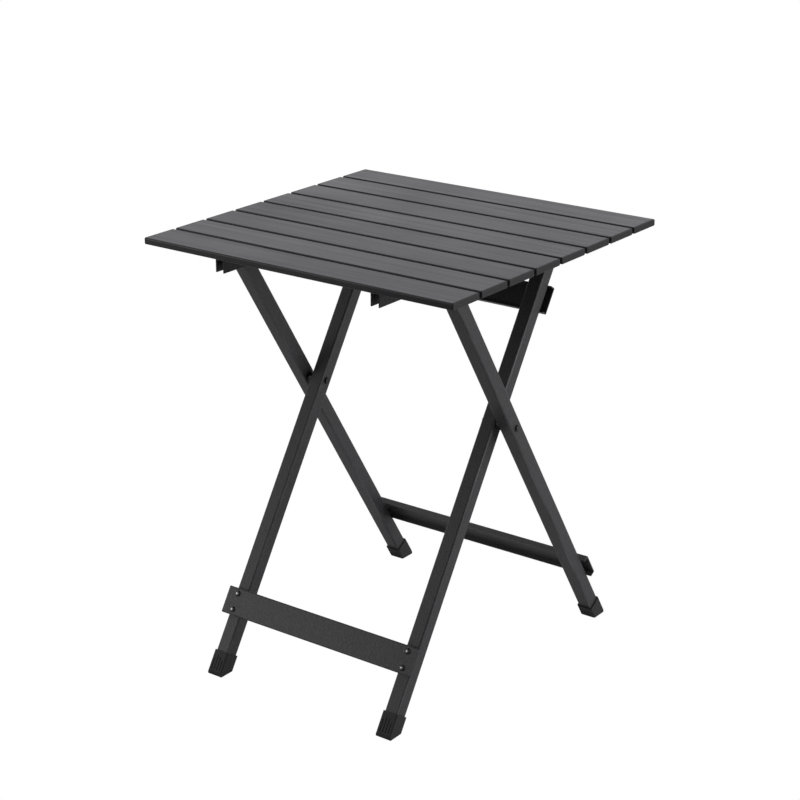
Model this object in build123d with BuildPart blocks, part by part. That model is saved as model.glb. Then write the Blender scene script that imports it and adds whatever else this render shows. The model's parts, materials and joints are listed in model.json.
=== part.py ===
"""Folding camp kitchen table: a slatted top on two crossed leg frames.

The inner frame carries the hinge of the top at its rear. The outer frame turns inside
out of it about the two crossing pivots, and its cross rod holds up the front of the top.
+X runs along the slats, +Y from front to back, +Z up. The origin is on the floor, under
the middle of the table. Millimetres.
"""
import os
from math import cos, hypot, radians, sin, tan

from build123d import *

os.makedirs("parts", exist_ok=True)

# Overall sizes
table_height = 700.0
slat_length = 566.0
slat_count = 8
slat_width = 63.7
slat_gap = 5.6
slat_thickness = 10.6

# Leg frames
lean_angle = 32.6          # of each frame from the vertical
pivot_share = 0.6006       # of the table's height, to the crossing of the frames
tube_size = 24.0
tube_wall = 1.5
tube_corner = 3.0
outer_frame_half = 212.8   # to the outside of the outer legs
leg_clearance = 2.3        # between the end of an inner brace and the outer leg beside it

# Braces
brace_height = 44.0
brace_depth = 11.0
brace_wall = 2.0
brace_overhang = 7.2       # of a low brace past the outside of the legs
high_brace_overhang = 5.0
brace_corner = 2.0
brace_rivet_spacing = 26.0
inner_brace_rise = 115.0   # along the legs, from the floor up to the middle of the low brace
outer_brace_rise = 120.0
inner_brace_drop = 92.0    # along the legs, from the hinge axis down to the high brace

# Slats and their end caps
slat_wall = 1.4
slat_corner = 2.2
slat_cavities = 3
cap_plate = 3.0
cap_edge = 1.6             # rounding of the caps' outer rims
cap_tongue = 12.0
cap_clearance = 0.1

# Rails
rail_width = 16.0
rail_below_hinge = 6.8     # of rail under the hinge axis
rail_wall = 2.0
rail_corner = 1.0
rail_inset = 11.5          # of the rails' ends behind the edge of the top
rail_clearance = 4.3       # between a rail and the inner leg beside it

# Hinge bolts of the top, through the inner legs
leg_top_clearance = 0.3    # between the turning top corner of an inner leg and the slats
hinge_radius = 4.0
hinge_end = 9.0            # of tube past the hinge axis
hinge_head_radius = 7.0
hinge_head = 3.5
hinge_nut_radius = 6.5
hinge_nut = 6.0
hinge_bush_wall = 2.0
washer_radius = 8.0

# Cross rod of the outer frame, under the front of the rails
rod_radius = 4.0
rod_end = 14.0             # of tube past the rod's axis
sleeve_radius = 6.0
sleeve_length = 20.0
rod_nut_radius = 6.5
rod_nut = 6.0
stop_length = 10.0
stop_drop = 9.0            # of a stop block below its rail
stop_rivet_radius = 2.0

# Crossing pivots
pivot_radius = 3.0
pivot_head_radius = 5.5
pivot_head = 3.0
spacer_radius = 9.0

# Rivets
brace_rivet_radius = 2.4
brace_rivet_head_radius = 4.8
brace_rivet_head = 2.4
slat_rivet_radius = 2.0
slat_rivet_head_radius = 4.0
slat_rivet_head = 1.4
slat_rivet_bulb_radius = 2.8
slat_rivet_bulb = 2.6
slat_rivet_spacing = 40.0

# Feet and plugs
foot_wall = 2.0
foot_sole = 4.0
foot_length = 34.0         # along the middle of the leg
foot_corner = 3.0
foot_toe = 5.0             # cut off the sharp toe, upright
foot_edge = 1.2
groove_width = 1.5
groove_depth = 0.9
groove_pitch = 5.2
groove_lengths = (14.0, 19.0, 17.0, 12.0)
plug_cap = 1.5
plug_length = 24.0
plug_edge = 1.0

# Clearances
running_fit = 0.05         # radial, where a pin turns in a hole
rivet_fit = 0.05
plug_fit = 0.1
seat_gap = 0.3             # between parts that rest on or pass each other
side_gap = 0.2             # beside parts that turn against each other

# Places that follow from the sizes
lean = radians(lean_angle)
pivot_height = pivot_share * table_height
leg_gap = brace_overhang + leg_clearance
slat_pitch = slat_width + slat_gap
top_depth = slat_count * slat_pitch - slat_gap
slat_bottom = table_height - slat_thickness
hinge_drop = hypot(hinge_end + plug_cap, tube_size / 2) + leg_top_clearance
rail_depth = hinge_drop + rail_below_hinge
rail_bottom = slat_bottom - rail_depth
inner_frame_half = outer_frame_half - tube_size - leg_gap
outer_leg_x = outer_frame_half - tube_size / 2
inner_leg_x = inner_frame_half - tube_size / 2
rail_outside = inner_frame_half - tube_size - rail_clearance
rail_x = rail_outside - rail_width / 2
hinge_z = slat_bottom - hinge_drop
rod_z = rail_bottom - sleeve_radius - seat_gap
hinge_s = (hinge_z - pivot_height) / cos(lean)
rod_s = (rod_z - pivot_height) / cos(lean)
hinge_y = hinge_s * sin(lean)
rod_y = -rod_s * sin(lean)
floor_s = -pivot_height / cos(lean)
inner_brace_low = floor_s + inner_brace_rise
inner_brace_high = hinge_s - inner_brace_drop
outer_brace_low = floor_s + outer_brace_rise
foot_inside_s = floor_s + (foot_sole + tube_size / 2 * sin(lean)) / cos(lean)

INNER, OUTER = lean, -lean  # the inner frame leans back at its top, the outer one forward
SIDES = (("left", -1), ("right", 1))


def section_plane(tilt, along):
    """Plane across a leg: its x is +X, its y points to the back of the frame."""
    up = Vector(0, sin(tilt), cos(tilt))
    return Plane(origin=Vector(0, 0, pivot_height) + up * along, x_dir=(1, 0, 0), z_dir=up)


def side_plane(tilt, x):
    """Plane along a leg, facing +X: its x points to the back, its y up the leg."""
    back = (0, cos(tilt), -sin(tilt))
    return Plane(origin=(x, 0, pivot_height), x_dir=back, z_dir=(1, 0, 0))


def face_plane(tilt, offset, outward):
    """Plane in front of (outward -1) or behind (outward 1) a frame: its y is up the leg."""
    back = Vector(0, cos(tilt), -sin(tilt))
    origin = Vector(0, 0, pivot_height) + back * (outward * offset)
    return Plane(origin=origin, x_dir=(-outward, 0, 0), z_dir=back * outward)


def save(piece, label):
    piece.part.label = label
    export_step(piece.part, f"parts/{label}.step")


def make_leg(label, x, tilt, top_s, cross_holes, brace_rows):
    """Square tube with its holes across (place, radius) and its rows of rivet holes."""
    bore = tube_size - 2 * tube_wall
    with BuildPart() as leg:
        with BuildSketch(section_plane(tilt, foot_inside_s)):
            with Locations((x, 0)):
                RectangleRounded(tube_size, tube_size, tube_corner)
                RectangleRounded(bore, bore, tube_corner - tube_wall, mode=Mode.SUBTRACT)
        extrude(amount=top_s - foot_inside_s)
        with BuildSketch(side_plane(tilt, x - tube_size)):
            for place, radius in cross_holes:
                with Locations((0, place)):
                    Circle(radius)
        extrude(amount=2 * tube_size, mode=Mode.SUBTRACT)
        for place, outward in brace_rows:
            with BuildSketch(face_plane(tilt, tube_size / 2, outward)):
                with Locations((-outward * x, place)):
                    with GridLocations(1, brace_rivet_spacing, 1, 2):
                        Circle(brace_rivet_radius + rivet_fit)
            extrude(amount=-2 * tube_wall, mode=Mode.SUBTRACT)
    save(leg, label)


def make_plug(label, x, tilt, top_s, hole_s, hole_radius):
    """Plastic plug in the open top end of a leg, bored for the rod or bolt it holds."""
    body = tube_size - 2 * tube_wall - 2 * plug_fit
    with BuildPart() as plug:
        with BuildSketch(section_plane(tilt, top_s)):
            with Locations((x, 0)):
                RectangleRounded(tube_size, tube_size, tube_corner)
        extrude(amount=plug_cap)
        chamfer(plug.faces().sort_by(Axis((0, 0, 0), (0, sin(tilt), cos(tilt))))[-1].edges(), plug_edge)
        with BuildSketch(section_plane(tilt, top_s)):
            with Locations((x, 0)):
                RectangleRounded(body, body, tube_corner - tube_wall)
        extrude(amount=-plug_length)
        with BuildSketch(side_plane(tilt, x - tube_size)):
            with Locations((0, hole_s)):
                Circle(hole_radius)
        extrude(amount=2 * tube_size, mode=Mode.SUBTRACT)
    save(plug, label)


def make_foot(label, x, tilt):
    """Rubber boot on the low end of a leg, cut level with the floor."""
    outside = tube_size + 2 * foot_wall
    front = -1 if tilt > 0 else 1
    toe_y = front * (pivot_height * tan(lean) + outside / 2 / cos(lean) - foot_toe)
    with BuildPart() as foot:
        with BuildSketch(section_plane(tilt, floor_s + foot_length)):
            with Locations((x, 0)):
                RectangleRounded(outside, outside, foot_corner)
        extrude(amount=-(foot_length + outside))
        split(bisect_by=Plane.XY, keep=Keep.TOP)
        toe = Plane(origin=(0, toe_y, 0), x_dir=(1, 0, 0), z_dir=(0, -front, 0))
        split(bisect_by=toe, keep=Keep.TOP)
        with BuildSketch(section_plane(tilt, foot_inside_s)):
            with Locations((x, 0)):
                Rectangle(tube_size, tube_size)
        extrude(amount=foot_length, mode=Mode.SUBTRACT)
        fillet(foot.faces().filter_by(Axis.Z).sort_by(Axis.Z)[0].edges(), foot_edge)
        for i, length in enumerate(groove_lengths):
            across = (i - (len(groove_lengths) - 1) / 2) * groove_pitch
            reach = length + foot_toe
            with BuildSketch(face_plane(tilt, outside / 2, front)):
                with Locations((-front * x + across, floor_s + foot_toe + length / 2)):
                    SlotOverall(reach, groove_width, rotation=90)
            extrude(amount=-groove_depth, mode=Mode.SUBTRACT)
    save(foot, label)


def make_brace(label, half_width, overhang, tilt, place, outward):
    """Channel across both legs of a frame, its web away from the legs."""
    plane = side_plane(tilt, -half_width - overhang)
    near = outward * tube_size / 2
    with BuildPart() as brace:
        with BuildSketch(plane):
            with Locations((near + outward * brace_depth / 2, place)):
                RectangleRounded(brace_depth, brace_height, brace_corner)
            with Locations((near + outward * brace_corner / 2, place)):
                Rectangle(brace_corner, brace_height)
            with Locations((near + outward * (brace_depth - brace_wall) / 2, place)):
                Rectangle(brace_depth - brace_wall, brace_height - 2 * brace_wall, mode=Mode.SUBTRACT)
        extrude(amount=2 * (half_width + overhang))
        with BuildSketch(face_plane(tilt, tube_size / 2 + brace_depth, outward)):
            with Locations((0, place)):
                with GridLocations(2 * half_width - tube_size, brace_rivet_spacing, 2, 2):
                    Circle(brace_rivet_radius + rivet_fit)
        extrude(amount=-2 * brace_wall, mode=Mode.SUBTRACT)
    save(brace, label)


def make_brace_rivets(label, half_width, tilt, place, outward):
    """Four round-head rivets that hold a brace's web to the legs."""
    shank = brace_depth + 2 * tube_wall
    with BuildPart() as rivets:
        with BuildSketch(face_plane(tilt, tube_size / 2 + brace_depth, outward)):
            with Locations((0, place)):
                with GridLocations(2 * half_width - tube_size, brace_rivet_spacing, 2, 2):
                    Circle(brace_rivet_radius)
        extrude(amount=-shank)
        with BuildSketch(face_plane(tilt, tube_size / 2 + brace_depth, outward)):
            with Locations((0, place)):
                with GridLocations(2 * half_width - tube_size, brace_rivet_spacing, 2, 2):
                    Circle(brace_rivet_head_radius)
        heads = extrude(amount=brace_rivet_head)
        tops = face_plane(tilt, tube_size / 2 + brace_depth + brace_rivet_head, outward)
        rims = [e for e in heads.edges().filter_by(GeomType.CIRCLE)
                if abs((e.center() - tops.origin).dot(tops.z_dir)) < 0.01]
        fillet(rims, 0.8 * brace_rivet_head)
    save(rivets, label)


def x_cylinder(start, end, y, z, radius, bore=0.0):
    """Round bar or ring along X, added to the part being built."""
    with Locations(Location((min(start, end), y, z), (0, 90, 0))):
        Cylinder(radius, abs(end - start), align=(Align.CENTER, Align.CENTER, Align.MIN))
        if bore:
            Cylinder(bore, abs(end - start), align=(Align.CENTER, Align.CENTER, Align.MIN),
                     mode=Mode.SUBTRACT)


# Slats, numbered from the front
cavity_width = (slat_width - slat_wall * (slat_cavities + 1)) / slat_cavities
cavity_height = slat_thickness - 2 * slat_wall
slat_body = slat_length / 2 - cap_plate
slat_ys = [(i - (slat_count - 1) / 2) * slat_pitch for i in range(slat_count)]
for number, slat_y in enumerate(slat_ys, start=1):
    with BuildPart() as slat:
        with BuildSketch(Plane.YZ.offset(-slat_body)):
            with Locations((slat_y, table_height - slat_thickness / 2)):
                RectangleRounded(slat_width, slat_thickness, slat_corner)
                with GridLocations(cavity_width + slat_wall, 1, slat_cavities, 1):
                    RectangleRounded(cavity_width, cavity_height, slat_corner - slat_wall,
                                     mode=Mode.SUBTRACT)
        extrude(amount=2 * slat_body)
        with BuildSketch(Plane.XY.offset(slat_bottom)):
            with Locations((0, slat_y)):
                with GridLocations(2 * rail_x, slat_rivet_spacing, 2, 2):
                    Circle(slat_rivet_radius + rivet_fit)
        extrude(amount=slat_wall, mode=Mode.SUBTRACT)
    save(slat, f"slat_{number}")

# End caps: a plate that closes the slat, with a tongue in each outer cavity
tongue_width = cavity_width - 2 * cap_clearance
tongue_height = cavity_height - 2 * cap_clearance
for side, sign in SIDES:
    with BuildPart() as slat_caps:
        for slat_y in slat_ys:
            with BuildSketch(Plane.YZ.offset(sign * slat_body)):
                with Locations((slat_y, table_height - slat_thickness / 2)):
                    RectangleRounded(slat_width, slat_thickness, slat_corner)
            plate = extrude(amount=sign * cap_plate)
            fillet(plate.faces().sort_by(Axis.X)[-1 if sign > 0 else 0].edges(), cap_edge)
            with BuildSketch(Plane.YZ.offset(sign * slat_body)):
                with Locations((slat_y, table_height - slat_thickness / 2)):
                    with GridLocations(2 * (cavity_width + slat_wall), 1, 2, 1):
                        RectangleRounded(tongue_width, tongue_height, slat_corner - slat_wall)
            extrude(amount=-sign * cap_tongue)
    save(slat_caps, f"slat_caps_{side}")

# Rails: channels open downward, under all the slats
rail_half = top_depth / 2 - rail_inset
rail_bore = rail_width - 2 * rail_wall
stop_y = rod_y - sleeve_radius - seat_gap - stop_length / 2
stop_rivet_z = slat_bottom - rail_depth / 2
for side, sign in SIDES:
    with BuildPart() as rail:
        with BuildSketch(Plane.XZ.offset(-rail_half)):
            with Locations((sign * rail_x, slat_bottom - rail_depth / 2)):
                Rectangle(rail_width, rail_depth)
            with Locations((sign * rail_x, rail_bottom + (rail_depth - rail_wall) / 2)):
                Rectangle(rail_bore, rail_depth - rail_wall, mode=Mode.SUBTRACT)
        extrude(amount=2 * rail_half)
        outside_edges = rail.edges().filter_by(Axis.Y).group_by(Axis.Z)[-1]
        fillet(outside_edges, rail_corner)
        with BuildSketch(Plane.YZ.offset(sign * rail_x - rail_width)):
            with Locations((hinge_y, hinge_z)):
                Circle(hinge_radius + running_fit)
            with Locations((stop_y, stop_rivet_z)):
                Circle(stop_rivet_radius + rivet_fit)
        extrude(amount=2 * rail_width, mode=Mode.SUBTRACT)
        with BuildSketch(Plane.XY.offset(slat_bottom - rail_wall)):
            for slat_y in slat_ys:
                with Locations((sign * rail_x, slat_y)):
                    with GridLocations(1, slat_rivet_spacing, 1, 2):
                        Circle(slat_rivet_radius + rivet_fit)
        extrude(amount=rail_wall, mode=Mode.SUBTRACT)
    save(rail, f"rail_{side}")

# Blind rivets that hold the slats: a head under the rail's web, a bulb inside the slat
for side, sign in SIDES:
    with BuildPart() as slat_rivets:
        for slat_y in slat_ys:
            with Locations((sign * rail_x, slat_y, slat_bottom - rail_wall)):
                with GridLocations(1, slat_rivet_spacing, 1, 2):
                    Cylinder(slat_rivet_head_radius, slat_rivet_head,
                             align=(Align.CENTER, Align.CENTER, Align.MAX))
                    Cylinder(slat_rivet_radius, rail_wall + slat_wall,
                             align=(Align.CENTER, Align.CENTER, Align.MIN))
            with Locations((sign * rail_x, slat_y, slat_bottom + slat_wall)):
                with GridLocations(1, slat_rivet_spacing, 1, 2):
                    Cylinder(slat_rivet_bulb_radius, slat_rivet_bulb,
                             align=(Align.CENTER, Align.CENTER, Align.MIN))
    save(slat_rivets, f"slat_rivets_{side}")

# Stop blocks in the rails, in front of the cross rod, each held by a rivet
stop_width = rail_bore - 2 * side_gap
stop_height = rail_depth - rail_wall + stop_drop - slat_rivet_head - side_gap
for side, sign in SIDES:
    with BuildPart() as rod_stop:
        with Locations((sign * rail_x, stop_y, rail_bottom - stop_drop)):
            Box(stop_width, stop_length, stop_height, align=(Align.CENTER, Align.CENTER, Align.MIN))
        chamfer(rod_stop.faces().sort_by(Axis.Z)[0].edges(), 1.0)
        with BuildSketch(Plane.YZ.offset(sign * rail_x - rail_width)):
            with Locations((stop_y, stop_rivet_z)):
                Circle(stop_rivet_radius + rivet_fit)
        extrude(amount=2 * rail_width, mode=Mode.SUBTRACT)
    save(rod_stop, f"rod_stop_{side}")

with BuildPart() as stop_rivets:
    for side, sign in SIDES:
        middle = sign * rail_x
        x_cylinder(middle - rail_width / 2, middle + rail_width / 2, stop_y, stop_rivet_z, stop_rivet_radius)
        for end in (-1, 1):
            face = middle + end * rail_width / 2
            x_cylinder(face, face + end * slat_rivet_head, stop_y, stop_rivet_z, slat_rivet_head_radius)
save(stop_rivets, "stop_rivets")

# Hinge of the top: bush in the rail, bolt through rail and inner leg, nut and washer
for side, sign in SIDES:
    bush_ends = (sign * (rail_x - rail_bore / 2 + side_gap), sign * (rail_x + rail_bore / 2 - side_gap))
    with BuildPart() as hinge_bush:
        x_cylinder(*bush_ends, hinge_y, hinge_z, hinge_radius + running_fit + hinge_bush_wall,
                   bore=hinge_radius + running_fit)
    save(hinge_bush, f"hinge_bush_{side}")

    nut_face = sign * (rail_x - rail_width / 2 - seat_gap)
    head_face = sign * (inner_frame_half + side_gap)
    with BuildPart() as hinge_bolt:
        x_cylinder(nut_face - sign * hinge_nut, head_face, hinge_y, hinge_z, hinge_radius)
        x_cylinder(head_face, head_face + sign * hinge_head, hinge_y, hinge_z, hinge_head_radius)
        fillet(hinge_bolt.faces().sort_by(Axis.X)[-1 if sign > 0 else 0].edges(), 0.6 * hinge_head)
    save(hinge_bolt, f"hinge_bolt_{side}")

    with BuildPart() as hinge_nut_part:
        with BuildSketch(Plane.YZ.offset(nut_face)):
            with Locations((hinge_y, hinge_z)):
                RegularPolygon(hinge_nut_radius, 6)
                Circle(hinge_radius, mode=Mode.SUBTRACT)
        extrude(amount=-sign * hinge_nut)
    save(hinge_nut_part, f"hinge_nut_{side}")

    washer_ends = (sign * (rail_outside + side_gap), sign * (inner_leg_x - tube_size / 2))
    with BuildPart() as hinge_washer:
        x_cylinder(*washer_ends, hinge_y, hinge_z, washer_radius, bore=hinge_radius + running_fit)
    save(hinge_washer, f"hinge_washer_{side}")

# Inner frame: feet in front, top at the back
inner_top_s = hinge_s + hinge_end
inner_holes = ((0, pivot_radius + running_fit), (hinge_s, hinge_radius + running_fit))
inner_rows = ((inner_brace_low, -1), (inner_brace_high, 1))
for side, sign in SIDES:
    make_leg(f"inner_leg_{side}", sign * inner_leg_x, INNER, inner_top_s, inner_holes, inner_rows)
    make_plug(f"inner_plug_{side}", sign * inner_leg_x, INNER, inner_top_s, hinge_s,
              hinge_radius + running_fit)
    make_foot(f"inner_foot_{side}", sign * inner_leg_x, INNER)
make_brace("inner_brace_low", inner_frame_half, brace_overhang, INNER, inner_brace_low, -1)
make_brace("inner_brace_high", inner_frame_half, high_brace_overhang, INNER, inner_brace_high, 1)
make_brace_rivets("inner_low_rivets", inner_frame_half, INNER, inner_brace_low, -1)
make_brace_rivets("inner_high_rivets", inner_frame_half, INNER, inner_brace_high, 1)

# Outer frame: feet at the back, top in front
outer_top_s = rod_s + rod_end
outer_holes = ((0, pivot_radius + running_fit), (rod_s, rod_radius + rivet_fit))
for side, sign in SIDES:
    make_leg(f"outer_leg_{side}", sign * outer_leg_x, OUTER, outer_top_s, outer_holes,
             ((outer_brace_low, 1),))
    make_plug(f"outer_plug_{side}", sign * outer_leg_x, OUTER, outer_top_s, rod_s,
              rod_radius + rivet_fit)
    make_foot(f"outer_foot_{side}", sign * outer_leg_x, OUTER)
make_brace("outer_brace_low", outer_frame_half, brace_overhang, OUTER, outer_brace_low, 1)
make_brace_rivets("outer_low_rivets", outer_frame_half, OUTER, outer_brace_low, 1)

# Cross rod between the tops of the outer legs, its end nuts and its sleeves
with BuildPart() as cross_rod:
    x_cylinder(-outer_frame_half - rod_nut / 2, outer_frame_half + rod_nut / 2, rod_y, rod_z, rod_radius)
save(cross_rod, "cross_rod")

with BuildPart() as rod_nuts:
    for side, sign in SIDES:
        inside, outside = sign * outer_frame_half, sign * (outer_frame_half + rod_nut)
        x_cylinder(inside, outside, rod_y, rod_z, rod_nut_radius)
        fillet(rod_nuts.faces().sort_by(Axis.X)[-1 if sign > 0 else 0].edges(), 0.5 * rod_nut)
        x_cylinder(inside, inside + sign * rod_nut / 2, rod_y, rod_z, rod_nut_radius, bore=rod_radius)
save(rod_nuts, "rod_nuts")

for side, sign in SIDES:
    with BuildPart() as rod_sleeve:
        x_cylinder(sign * (rail_x - sleeve_length / 2), sign * (rail_x + sleeve_length / 2), rod_y, rod_z,
                   sleeve_radius, bore=rod_radius)
    save(rod_sleeve, f"rod_sleeve_{side}")

# Crossing pivots: bolt from outside, nut inside the inner leg, spacer between the legs
for side, sign in SIDES:
    outer_face = sign * outer_frame_half
    inner_face = sign * (inner_frame_half - tube_size - side_gap)
    with BuildPart() as pivot_bolt:
        x_cylinder(inner_face - sign * pivot_head, outer_face, 0, pivot_height, pivot_radius)
        x_cylinder(outer_face, outer_face + sign * pivot_head, 0, pivot_height, pivot_head_radius)
        fillet(pivot_bolt.faces().sort_by(Axis.X)[-1 if sign > 0 else 0].edges(), 0.7 * pivot_head)
    save(pivot_bolt, f"pivot_bolt_{side}")

    with BuildPart() as pivot_nut:
        x_cylinder(inner_face, inner_face - sign * pivot_head, 0, pivot_height, pivot_head_radius,
                   bore=pivot_radius)
    save(pivot_nut, f"pivot_nut_{side}")

    spacer_ends = (sign * (inner_frame_half + side_gap), sign * (outer_frame_half - tube_size))
    with BuildPart() as pivot_spacer:
        x_cylinder(*spacer_ends, 0, pivot_height, spacer_radius, bore=pivot_radius)
    save(pivot_spacer, f"pivot_spacer_{side}")
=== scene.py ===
# %% [markdown]
# # A folding camp kitchen table
# The table is nearly all metal: eight hollow slats lie on two channel rails, and two crossed
# frames of square tube carry them. The measured design is loaded as it is and is never
# moved. What this script adds is how it looks: the coats on the metal, the rubber of the
# feet, the marks that the making and the use leave, the light and the camera.

# %% Load the frame
import json
import math

import bpy
from mathutils import Matrix, Vector


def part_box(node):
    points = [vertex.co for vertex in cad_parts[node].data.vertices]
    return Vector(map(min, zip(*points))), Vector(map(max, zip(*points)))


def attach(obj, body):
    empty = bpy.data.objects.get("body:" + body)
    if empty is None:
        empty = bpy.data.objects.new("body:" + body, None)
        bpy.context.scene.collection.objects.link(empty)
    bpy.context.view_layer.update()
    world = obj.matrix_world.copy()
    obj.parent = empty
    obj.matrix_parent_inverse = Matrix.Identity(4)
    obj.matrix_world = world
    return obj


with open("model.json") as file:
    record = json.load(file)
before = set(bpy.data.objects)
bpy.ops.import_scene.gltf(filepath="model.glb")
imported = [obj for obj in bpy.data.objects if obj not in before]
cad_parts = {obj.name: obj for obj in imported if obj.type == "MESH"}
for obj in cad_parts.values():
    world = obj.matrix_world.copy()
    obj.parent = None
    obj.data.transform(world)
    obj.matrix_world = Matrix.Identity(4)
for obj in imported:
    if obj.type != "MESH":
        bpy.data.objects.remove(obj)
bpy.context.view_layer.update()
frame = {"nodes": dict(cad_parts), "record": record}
bpy.ops.object.select_all(action="DESELECT")
nodes = frame["nodes"]

# %% [markdown]
# ## Places that the finishes need
# Wear follows the corners of the tubes and the edges of the slats, so the finishes have to
# know where those are. The pitch and the width of the slats and the middle of each leg are
# read off the loaded pieces. The lean of the frames follows from the places of the pivot and
# the hinge, which the record gives.

# %% Places
low_slat, high_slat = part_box("slat_1")
next_slat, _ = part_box("slat_2")
PITCH = next_slat.y - low_slat.y
SLAT_WIDTH = high_slat.y - low_slat.y
SLAT_MIDDLE = (high_slat.y + low_slat.y) / 2
TOP = high_slat.z


def middle_x(node):
    """Distance of a piece from the table's middle, and half its width."""
    low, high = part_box(node)
    return abs(low.x + high.x) / 2, (high.x - low.x) / 2


INNER_X, TUBE_HALF = middle_x("inner_leg_right")
OUTER_X, _ = middle_x("outer_leg_right")
joints = {joint["name"]: joint for joint in frame["record"]["behaviour"]["joints"]}
PIVOT = Vector(joints["frame_fold"]["pos_m"])
HINGE = Vector(joints["top_lift"]["pos_m"])
LEAN = math.atan2(HINGE.y - PIVOT.y, HINGE.z - PIVOT.z)
print("slat pitch", round(PITCH * 1000, 2), "mm, lean", round(math.degrees(LEAN), 2), "degrees")

# %% [markdown]
# ## Camera
# A product picture taken from a little above the top, with a long lens, so that upright
# lines stay nearly parallel. The camera looks at a point near the crossing of the legs.

# %% Camera
LOOK_AT = Vector((-0.0076, 0.0, 0.4185))
AZIMUTH, ELEVATION, DISTANCE = math.radians(36.35), math.radians(20.115), 3.0899
ROLL, LENS, SENSOR = math.radians(-0.03), 88.0, 36.0

back = Vector((math.sin(AZIMUTH) * math.cos(ELEVATION),
               -math.cos(AZIMUTH) * math.cos(ELEVATION),
               math.sin(ELEVATION)))
camera_data = bpy.data.cameras.new("camera")
camera_data.lens = LENS
camera_data.sensor_width = SENSOR
camera = bpy.data.objects.new("camera", camera_data)
bpy.context.scene.collection.objects.link(camera)
turn = back.to_track_quat("Z", "Y").to_matrix().to_4x4() @ Matrix.Rotation(ROLL, 4, "Z")
camera.matrix_world = Matrix.Translation(LOOK_AT + back * DISTANCE) @ turn
bpy.context.scene.camera = camera
bpy.context.scene.view_settings.view_transform = "Standard"
print("camera", [round(value, 3) for value in camera.matrix_world.translation])

# %% [markdown]
# ## Writing a finish as sums
# A finish is worked out from places on the piece. `Wire` wraps one socket of a shader, so
# that ordinary sums on it add the maths nodes. `Tree` makes every other node with one
# method: its settings first, then its sockets. `Finish` is the tree of one material.


# %% Sums on sockets
class Wire:
    """One output socket. Sums on it add Math nodes to its tree."""

    def __init__(self, tree, socket):
        self.tree, self.socket = tree, socket

    def sum(self, operation, other=None, swapped=False, clamp=False):
        maths = self.tree.nodes.new("ShaderNodeMath")
        maths.operation, maths.use_clamp = operation, clamp
        for place, value in enumerate((other, self) if swapped else (self, other)):
            if isinstance(value, Wire):
                self.tree.links.new(value.socket, maths.inputs[place])
            elif value is not None:
                maths.inputs[place].default_value = value
        return Wire(self.tree, maths.outputs[0])

    def __add__(self, other):
        return self.sum("ADD", other)

    def __sub__(self, other):
        return self.sum("SUBTRACT", other)

    def __rsub__(self, other):
        return self.sum("SUBTRACT", other, swapped=True)

    def __mul__(self, other):
        return self.sum("MULTIPLY", other)

    def __truediv__(self, other):
        return self.sum("DIVIDE", other)

    __radd__, __rmul__ = __add__, __mul__

    def size(self):
        return self.sum("ABSOLUTE")

    def limited(self):
        return self.sum("ADD", 0.0, clamp=True)

    def near(self, place, reach):
        """1 at a place, falling to 0 at reach away from it."""
        return (1 - (self - place).size() / reach).limited()


class Tree:
    """A tree of shader nodes, and the way every node in it is made."""

    def __init__(self, owner):
        owner.use_nodes = True
        self.tree = owner.node_tree

    def node(self, kind, settings=(), output=0, **sockets):
        """A node with its settings, then its sockets, by name with _ for a space, or as s0, s1."""
        made = self.tree.nodes.new(kind)
        for key, value in dict(settings).items():
            setattr(made, key, value)
        for key, value in sockets.items():
            numbered = key[1:].isdigit()
            self.feed(made.inputs[int(key[1:]) if numbered else key.replace("_", " ")], value)
        return Wire(self.tree, made.outputs[output])

    def feed(self, socket, value):
        if isinstance(value, Wire):
            self.tree.links.new(value.socket, socket)
        else:
            socket.default_value = value

    def parts(self, point):
        """The x, y and z of a point."""
        split = self.node("ShaderNodeSeparateXYZ", Vector=point)
        return [Wire(self.tree, socket) for socket in split.socket.node.outputs]


class Finish(Tree):
    """One material, with its shader and the patterns that the finishes share."""

    def __init__(self, name):
        self.material = bpy.data.materials.new(name)
        super().__init__(self.material)
        self.shader = self.tree.nodes["Principled BSDF"]

    def set(self, **sockets):
        """Feed the shader's own sockets."""
        for key, value in sockets.items():
            self.feed(self.shader.inputs[key.replace("_", " ")], value)

    def place(self, tilt=0.0, scale=(1, 1, 1)):
        """The point on the piece, in a leg's own directions when a tilt is given."""
        point = self.node("ShaderNodeTexCoord", output=3)
        if tilt:
            point = self.node("ShaderNodeVectorRotate", {"rotation_type": "X_AXIS"}, Vector=point,
                              Center=tuple(PIVOT), Angle=tilt)
        if tuple(scale) != (1, 1, 1):
            point = self.node("ShaderNodeVectorMath", {"operation": "MULTIPLY"},
                              s0=point, s1=tuple(scale))
        return point

    def noise(self, point, scale, detail=3.0, spread=1.0):
        """Noise as a value about 0, stretched to the spread asked for."""
        value = self.node("ShaderNodeTexNoise", {"noise_dimensions": "3D"}, Vector=point,
                          Scale=scale, Detail=detail, Roughness=0.5)
        return (value - 0.5) * spread

    def blend(self, factor, first, second):
        """A colour between two, which are given as numbers or as wires."""
        first = first if isinstance(first, Wire) else (*first, 1.0)
        second = second if isinstance(second, Wire) else (*second, 1.0)
        return self.node("ShaderNodeMix", {"data_type": "RGBA"}, output=2,
                         s0=factor, s6=first, s7=second)

    def bump(self, height, strength, distance):
        return self.node("ShaderNodeBump", Height=height, Strength=strength, Distance=distance)


print("sums and finishes ready")
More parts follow.
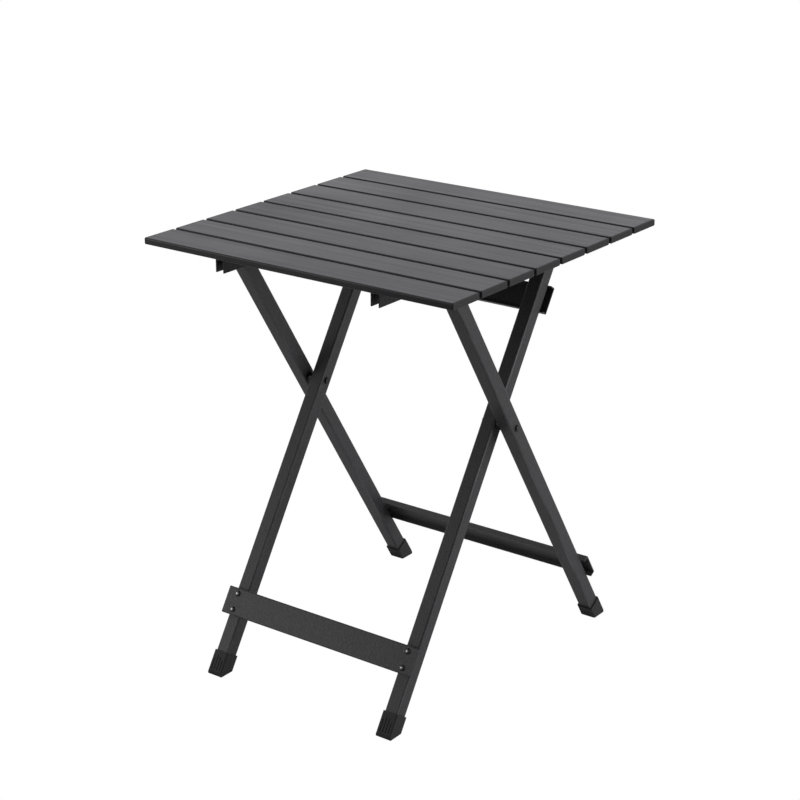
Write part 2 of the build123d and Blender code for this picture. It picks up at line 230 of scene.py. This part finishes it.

# %% [markdown]
# ## The slats
# Aluminium drawn through a die keeps fine lines along its length, and the thin satin coat
# over it does not hide them. So the noise is stretched along the slat: broad soft streaks in
# the colour, and finer ones in the gloss and the surface. The long rounded edges
# take the wear of hands and pots, and there the coat is painted a little paler: partly that
# wear, partly a painted highlight along the edges. Each slat
# comes from its own length of extrusion, so each has its own slight shade.

# %% Slat coat
STREAK = (1.2, 90.0, 90.0)
FINE_STREAK = (5.0, 900.0, 900.0)
EDGE_PATCHES = (9, 60, 60)
SLAT_DARK, SLAT_PALE = (0.0105, 0.0105, 0.0118), (0.0215, 0.0215, 0.0240)
# Paler colour of the slats' top edges: partly wear, partly a painted highlight.
SLAT_WORN_AND_HIGHLIGHT = (0.075, 0.075, 0.080)
EDGE_INSET, SIDE_REACH, TOP_REACH = 0.0010, 0.0016, 0.0022
SHADE_SEED = 4.3


def slat_coat():
    """Satin charcoal coat on the slats, with lengthwise lines and top edges painted paler: partly
    rubbed wear, partly a painted highlight.
    """
    finish = Finish("slat coat")
    point = finish.place()
    _, y, z = finish.parts(point)
    streak = finish.noise(finish.place(scale=STREAK), 1.0, detail=4.0, spread=2.4)
    fine = finish.noise(finish.place(scale=FINE_STREAK), 1.0, detail=3.0, spread=1.0)
    number = ((y - SLAT_MIDDLE) / PITCH).sum("ROUND")
    shade = finish.node("ShaderNodeTexWhiteNoise", {"noise_dimensions": "1D"},
                        W=number + SHADE_SEED)
    across = ((y - SLAT_MIDDLE) - number * PITCH).size()
    # The top edges are painted paler: partly rubbed wear, partly a painted highlight on the
    # rounded edges.
    rubbed_and_highlight = (across.near(SLAT_WIDTH / 2 - EDGE_INSET, SIDE_REACH)
              * z.near(TOP - EDGE_INSET, TOP_REACH))
    patches = finish.noise(finish.place(scale=EDGE_PATCHES), 1.0, detail=5.0, spread=3.0) + 0.35
    rubbed_and_highlight = (rubbed_and_highlight * patches.limited()).limited()
    cloud = finish.noise(point, 6.0, detail=3.0, spread=1.6)
    tone = (0.35 + streak * 0.9 + (shade - 0.5) * 0.35 + cloud).limited()
    colour = finish.blend(tone, SLAT_DARK, SLAT_PALE)
    rough = 0.37 + fine * 0.22 + streak * 0.09 + cloud * 0.10 + (shade - 0.5) * 0.04
    finish.set(Base_Color=finish.blend(rubbed_and_highlight * 0.2, colour, SLAT_WORN_AND_HIGHLIGHT),
               Roughness=rough - rubbed_and_highlight * 0.08,
               Normal=finish.bump(fine + streak * 0.3, 0.22, 0.0004), IOR=1.5)
    return finish.material


print(slat_coat.__doc__)

# %% [markdown]
# ## The legs and braces
# The tubes and channels wear a powder coat. Powder melts into a skin that is never quite
# flat: it has the grain of orange peel, and under it a fine sandy texture. The four corners
# of a tube are where the coat is thinnest and gets knocked, so a pale line is painted along them,
# broken up along the leg: partly that wear, partly a painted highlight on the edges. The corners
# are found by turning the place on the piece into the leg's own directions. The outer frame's
# brace gets a paler copy of the same coat, painted light that lifts its web out of the shade of
# its channel, and the rails a darker coat.

# %% Leg and brace coats
COAT_DARK, COAT_PALE = (0.024, 0.024, 0.025), (0.048, 0.048, 0.050)
# Paler colour along the tube corners: partly worn coat, partly a painted highlight.
COAT_WORN_AND_HIGHLIGHT = (0.16, 0.16, 0.165)
# Paler colours of the same powder coat for the outer brace: painted light on its shaded channel.
OUTER_BRACE_LIT_DARK, OUTER_BRACE_LIT_PALE = (0.050, 0.050, 0.051), (0.078, 0.078, 0.080)
RAIL_DARK, RAIL_PALE = (0.006, 0.006, 0.006), (0.013, 0.013, 0.013)
ALONG_LEG, CORNER_BREAKS = (14, 14, 3), (30, 30, 11)
CORNER_INSET, CORNER_REACH = 0.0008, 0.0017


def powder_coat(name, tilt, centre_x=None, gloss=0.42, dark=COAT_DARK, pale=COAT_PALE):
    """Grainy charcoal powder coat, with corners on a square tube painted paler: partly knocks,
    partly a painted highlight.
    """
    finish = Finish(name)
    point = finish.place(tilt)
    x, across, _ = finish.parts(point)
    peel = finish.noise(point, 330.0, detail=2.0, spread=1.8)
    sand = finish.noise(point, 1500.0, detail=3.0, spread=1.4)
    cloud = finish.noise(point, 9.0, detail=4.0, spread=1.5)
    drift = finish.noise(finish.place(tilt, ALONG_LEG), 1.0, detail=3.0, spread=1.2)
    tone = (0.42 + peel * 1.0 + sand * 0.4 + cloud * 0.4 + drift * 0.4).limited()
    colour = finish.blend(tone, dark, pale)
    rough = gloss + sand * 0.10 + cloud * 0.06
    if centre_x is not None:
        off_x = (x.size() - centre_x).size()
        off_across = (across - PIVOT.y).size()
        corner = (off_x.near(TUBE_HALF - CORNER_INSET, CORNER_REACH)
                  * off_across.near(TUBE_HALF - CORNER_INSET, CORNER_REACH))
        broken = finish.noise(finish.place(tilt, CORNER_BREAKS), 1.0, detail=5.0, spread=3.2) + 0.45
        # The corner line is painted paler: partly knocks in the coat, partly a painted highlight.
        worn_and_highlight = (corner * broken.limited() * 1.3).limited()
        colour = finish.blend(worn_and_highlight * 0.75, colour, COAT_WORN_AND_HIGHLIGHT)
        rough = rough - worn_and_highlight * 0.12
    finish.set(Base_Color=colour, Roughness=rough, IOR=1.5,
               Normal=finish.bump(peel + sand * 0.6, 0.45, 0.0004))
    return finish.material


print(powder_coat.__doc__)

# %% [markdown]
# ## Plastic, nylon and rubber
# The end caps and the plugs are moulded, with a dull even skin and the faint swirl that the
# melt leaves. The boots are rubber: duller, with a fine pebble, a bloom of grey dust low
# down where they stand on the ground, and scuffs round the sole.

# %% Moulded finishes
CAP_DARK, CAP_PALE = (0.006, 0.006, 0.0065), (0.014, 0.014, 0.015)
BLACK_DARK, BLACK_PALE = (0.010, 0.010, 0.010), (0.018, 0.018, 0.018)
RUBBER_DARK, RUBBER_PALE = (0.011, 0.011, 0.011), (0.021, 0.021, 0.021)
DUST, DUST_HEIGHT = (0.10, 0.095, 0.088), 0.014
SCUFFS = (60, 60, 260)


def moulded(name, dark, pale, rough, grain):
    """Moulded plastic: a dull skin with a fine sparked grain and a faint swirl."""
    finish = Finish(name)
    point = finish.place()
    swirl = finish.noise(point, 38.0, detail=4.0, spread=1.6)
    spark = finish.noise(point, grain, detail=3.0, spread=1.4)
    finish.set(Base_Color=finish.blend((0.5 + swirl * 0.6 + spark * 0.3).limited(), dark, pale),
               Roughness=rough + spark * 0.08 + swirl * 0.05, IOR=1.46,
               Normal=finish.bump(spark, 0.15, 0.0002))
    return finish.material


def boot_rubber():
    """Black rubber with a fine pebble, dust low down and scuffs round the sole."""
    finish = Finish("boot rubber")
    point = finish.place()
    _, _, z = finish.parts(point)
    pebble = finish.node("ShaderNodeTexVoronoi", {"feature": "F1"}, Vector=point, Scale=900.0)
    cloud = finish.noise(point, 55.0, detail=4.0, spread=1.6)
    dusty = (1 - z / DUST_HEIGHT).limited() * (0.35 + cloud).limited()
    scuff = finish.noise(finish.place(scale=SCUFFS), 1.0, detail=5.0, spread=4.0) - 0.9
    colour = finish.blend((0.5 + cloud * 0.5).limited(), RUBBER_DARK, RUBBER_PALE)
    colour = finish.blend((dusty * 0.30 + scuff.limited() * 0.10).limited(), colour, DUST)
    finish.set(Base_Color=colour, Roughness=0.60 + cloud * 0.08 + dusty * 0.2, IOR=1.5,
               Normal=finish.bump(pebble + cloud * 0.4, 0.18, 0.0003))
    return finish.material


print(moulded.__doc__, boot_rubber.__doc__)

# %% [markdown]
# ## Rivets and bolts
# Their heads are pressed, coated thinly and stay smooth, so they are the glossiest coated
# things here. The pressing leaves a few marks from the tool.

# %% Fastener finish
HEAD_DARK, HEAD_PALE = (0.003, 0.003, 0.003), (0.009, 0.009, 0.009)


def fastener_coat(name, rough):
    """Thin black coat on pressed steel or aluminium, smooth, with a few tool marks."""
    finish = Finish(name)
    point = finish.place()
    mark = finish.noise(point, 700.0, detail=3.0, spread=1.5)
    cloud = finish.noise(point, 160.0, detail=2.0, spread=1.5)
    finish.set(Base_Color=finish.blend((0.45 + cloud * 0.6).limited(), HEAD_DARK, HEAD_PALE),
               Roughness=rough + mark * 0.07 + cloud * 0.05, IOR=1.55,
               Normal=finish.bump(mark, 0.10, 0.0002))
    return finish.material


print(fastener_coat.__doc__)

# %% [markdown]
# ## Put each finish on its pieces
# The record says which coat each piece has. The legs get theirs by frame, because the pale
# line on their corners, partly wear and partly a painted highlight, follows the lean of the frame.

# %% Paint the pieces
COATS = {
    "slat_paint": slat_coat(),
    "rail_paint": powder_coat("rail coat", 0.0, gloss=0.5, dark=RAIL_DARK, pale=RAIL_PALE),
    "cap_plastic": moulded("end cap plastic", CAP_DARK, CAP_PALE, 0.48, 1100.0),
    "black_plastic": moulded("plug plastic", BLACK_DARK, BLACK_PALE, 0.5, 900.0),
    "nylon": moulded("nylon", BLACK_DARK, BLACK_PALE, 0.42, 1400.0),
    "foot_rubber": boot_rubber(),
    "rivet": fastener_coat("rivet coat", 0.24),
    "fastener": fastener_coat("bolt coat", 0.30),
}
FRAME_COATS = {
    ("inner", "leg_paint"): powder_coat("inner leg coat", LEAN, INNER_X),
    ("outer", "leg_paint"): powder_coat("outer leg coat", -LEAN, OUTER_X),
    ("inner", "brace_paint"): powder_coat("inner brace coat", LEAN, gloss=0.40),
    # The outer brace gets the paler copy of the coat: painted light that lifts its shaded channel.
    ("outer", "brace_paint"): powder_coat("outer brace lit coat", -LEAN, gloss=0.40,
                                          dark=OUTER_BRACE_LIT_DARK, pale=OUTER_BRACE_LIT_PALE),
}
slot_of = {part["node"]: part["material_slot"] for part in frame["record"]["subparts"]}
for name, piece in nodes.items():
    slot = slot_of[name]
    coat = COATS.get(slot) or FRAME_COATS[(name.split("_")[0], slot)]
    piece.data.materials.clear()
    piece.data.materials.append(coat)
print("painted", len(nodes), "pieces with", len(COATS) + len(FRAME_COATS), "finishes")

# %% [markdown]
# ## The pins in the rivets
# The braces are fixed with blind rivets. When one is set, the pin that draws it up snaps off
# in the middle of the head, and its end stays there as a small bright disc, a little proud of
# the black dome. The heads are found by turning the rivets' points into the leg's own
# directions and sorting them into left and right, upper and lower.

# %% Rivet pins
PIN_RADIUS, PIN_PROUD, PIN_SUNK, PIN_RIM = 0.0013, 0.00035, 0.0010, 0.00018
PIN_LENGTH = PIN_PROUD + PIN_SUNK
PIN_DARK, PIN_PALE = (0.42, 0.42, 0.43), (0.72, 0.72, 0.73)


def bare_pin():
    """Bare drawn metal, snapped off, with a fine torn grain."""
    finish = Finish("rivet pin metal")
    grain = finish.noise(finish.place(), 2600.0, detail=3.0, spread=1.5)
    finish.set(Base_Color=finish.blend((0.5 + grain).limited(), PIN_DARK, PIN_PALE),
               Metallic=1.0, Roughness=0.34 + grain * 0.12,
               Normal=finish.bump(grain, 0.2, 0.0001))
    return finish.material


PIN_METAL = bare_pin()


def middle(values):
    """Halfway between the least and the greatest."""
    return (min(values) + max(values)) / 2


def pin_end(outward, to_place):
    """One pin end: a short cylinder with a rounded rim, its outer end along outward y."""
    bpy.ops.object.select_all(action="DESELECT")
    bpy.ops.mesh.primitive_cylinder_add(vertices=24, radius=PIN_RADIUS, depth=PIN_LENGTH,
                                        location=(0, 0, 0),
                                        rotation=(-outward * math.pi / 2, 0, 0))
    pin = bpy.context.object
    bpy.ops.object.transform_apply(location=True, rotation=True, scale=True)
    soften = pin.modifiers.new("rounded rim", "BEVEL")
    soften.width, soften.segments = PIN_RIM, 2
    bpy.ops.object.modifier_apply(modifier=soften.name)
    pin.data.transform(to_place)
    return pin


def rivet_pins(node, body, tilt):
    """The pin ends in the four rivet heads of one brace."""
    turned = Matrix.Rotation(tilt, 3, "X")
    points = [turned @ (vertex.co - PIVOT) for vertex in nodes[node].data.vertices]
    middle_z = middle([p.z for p in points])
    top = max((p.y for p in points), key=abs)
    outward = math.copysign(1.0, top)
    ends = []
    for right in (False, True):
        for upper in (False, True):
            own = [p for p in points if (p.x > 0) == right and (p.z > middle_z) == upper]
            place = Vector((middle([p.x for p in own]),
                            top + outward * (PIN_PROUD - PIN_LENGTH / 2),
                            middle([p.z for p in own])))
            upright = turned.transposed().to_4x4() @ Matrix.Translation(place)
            ends.append(pin_end(outward, Matrix.Translation(PIVOT) @ upright))
    bpy.ops.object.select_all(action="DESELECT")
    for pin in ends:
        pin.select_set(True)
    bpy.context.view_layer.objects.active = ends[0]
    bpy.ops.object.join()
    pins = bpy.context.object
    pins.name = node.replace("rivets", "rivet_pins")
    pins.data.materials.clear()
    pins.data.materials.append(PIN_METAL)
    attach(pins, body)
    bpy.ops.object.select_all(action="DESELECT")
    return pins


for node, body, tilt in (("inner_low_rivets", "inner_frame", LEAN),
                         ("inner_high_rivets", "inner_frame", LEAN),
                         ("outer_low_rivets", "outer_frame", -LEAN)):
    print(rivet_pins(node, body, tilt).name)

# %% [markdown]
# ## Floor and light
# A floor that is plain white to the camera and runs out of the picture. To everything else
# it is matt paper, pale behind the table and dark in front of it, and from below it is clear.
# Soft studio light comes from large areas. Dark satin metal shows little colour of its own:
# most of what is seen on it is the reflection of the studio. The wall behind the table is
# bright down to the floor, which is what lightens the tops of the slats; the side where the
# camera stands is darker.

# %% Floor
FLOOR_SIZE = 60
PAPER_NEAR, PAPER_FAR = (0.10, 0.10, 0.10), (0.78, 0.78, 0.78)
FADE_START, FADE_LENGTH = -1.5, 1.3

bpy.ops.mesh.primitive_plane_add(size=FLOOR_SIZE, location=(0, 0, 0))
floor = bpy.context.object
floor.name = "floor"
paper = Finish("floor paper")
_, floor_y, _ = paper.parts(paper.place())
fade = ((floor_y - FADE_START) / FADE_LENGTH).limited()
paper.set(Base_Color=paper.blend(fade, PAPER_NEAR, PAPER_FAR), Roughness=0.9)
matt = Wire(paper.tree, paper.shader.outputs[0])
white = paper.node("ShaderNodeEmission", Color=(1, 1, 1, 1), Strength=1.0)
camera_ray = paper.node("ShaderNodeLightPath")
above = paper.node("ShaderNodeMixShader", s0=camera_ray, s1=matt, s2=white)
from_below = paper.node("ShaderNodeNewGeometry", output=6)
clear = paper.node("ShaderNodeBsdfTransparent")
both = paper.node("ShaderNodeMixShader", s0=from_below, s1=above, s2=clear)
paper.feed(paper.tree.nodes["Material Output"].inputs["Surface"], both)
floor.data.materials.append(paper.material)

# %% Studio
BACK_LIGHT, FRONT_LIGHT, TOP_LIGHT, SIDE_LIGHT = 0.98, 0.15, 0.28, 0.6
DEPTH_SHARE, SIDE_SHARE, STEEPNESS = 0.8, 0.25, 1.1
LIGHT_COLOUR = (0.975, 0.96, 1.0, 1)

world = bpy.data.worlds.new("studio")
bpy.context.scene.world = world
sky = Tree(world)
side, depth, height = sky.parts(sky.node("ShaderNodeTexCoord"))
behind = (0.5 + (depth * DEPTH_SHARE - side * SIDE_SHARE) * STEEPNESS).limited()
wall = behind * (BACK_LIGHT - FRONT_LIGHT) + FRONT_LIGHT
power = wall + (height.size() * (TOP_LIGHT - SIDE_LIGHT) * behind)
background = sky.tree.nodes["Background"]
sky.feed(background.inputs["Strength"], power)
sky.feed(background.inputs["Color"], LIGHT_COLOUR)


def softbox(name, place, aim, width, height, power):
    """A rectangular area light, aimed at a point."""
    data = bpy.data.lights.new(name, "AREA")
    data.shape = "RECTANGLE"
    data.size, data.size_y = width, height
    data.energy = power
    lamp = bpy.data.objects.new(name, data)
    bpy.context.scene.collection.objects.link(lamp)
    turned = (Vector(place) - Vector(aim)).to_track_quat("Z", "Y").to_matrix().to_4x4()
    lamp.matrix_world = Matrix.Translation(place) @ turned


softbox("front left", (-1.8, -2.1, 0.9), (0, 0, 0.15), 1.3, 1.3, 12)
softbox("right", (3.0, 0.6, 1.1), (0, 0, 0.3), 1.4, 1.8, 31)
print("lights set")

# %% [markdown]
